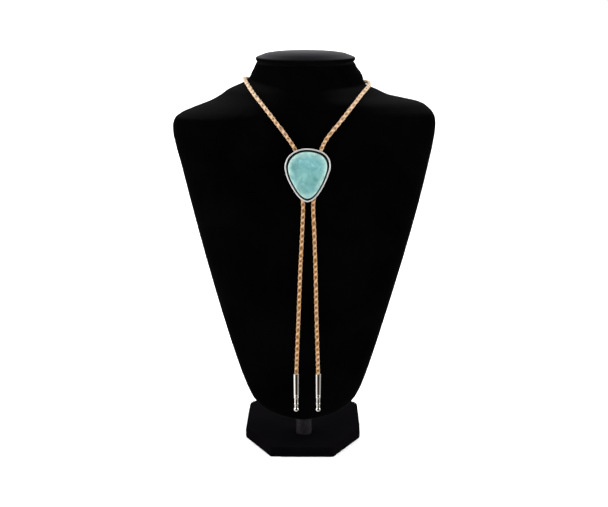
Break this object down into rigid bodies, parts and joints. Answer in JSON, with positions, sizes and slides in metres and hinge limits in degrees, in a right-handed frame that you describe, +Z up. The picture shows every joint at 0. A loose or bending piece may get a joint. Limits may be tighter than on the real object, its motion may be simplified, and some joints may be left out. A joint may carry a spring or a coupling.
{
  "type": "bolo tie on a display neck bust",
  "caption": "Bolo tie with a braided leather cord, a rounded triangular stone slide and metal tips, worn on a plain dark display neck bust with a base plate.",
  "frame": {"origin": "under the base plate, on the surface that it stands on, in the bust's middle plane", "axes": "+Z up, the bust and the slide face -Y, +X to the viewer's right"},
  "size_m": [0.2584, 0.1438, 0.3966],
  "materials": {
    "bust": "black velvet, short soft nap",
    "stand": "black velvet over a hard plate and post",
    "cord": "golden tan round braid of four strands, satin",
    "setting": "silver, polished rope rim and a darkened sunk ring",
    "stone": "polished pale blue green turquoise with faint grey veins",
    "clasp": "plain nickel clip",
    "tips": "bright plated metal"
  },
  "bodies": {
    "root": {"base_plate": "stand", "stand_post": "stand", "bust_form": "bust", "neck_cap": "bust", "setting": "setting", "stone": "stone", "slide_clasp": "clasp", "cord": "cord", "tip_left": "tips", "tip_right": "tips"}
  },
  "joints": []
}
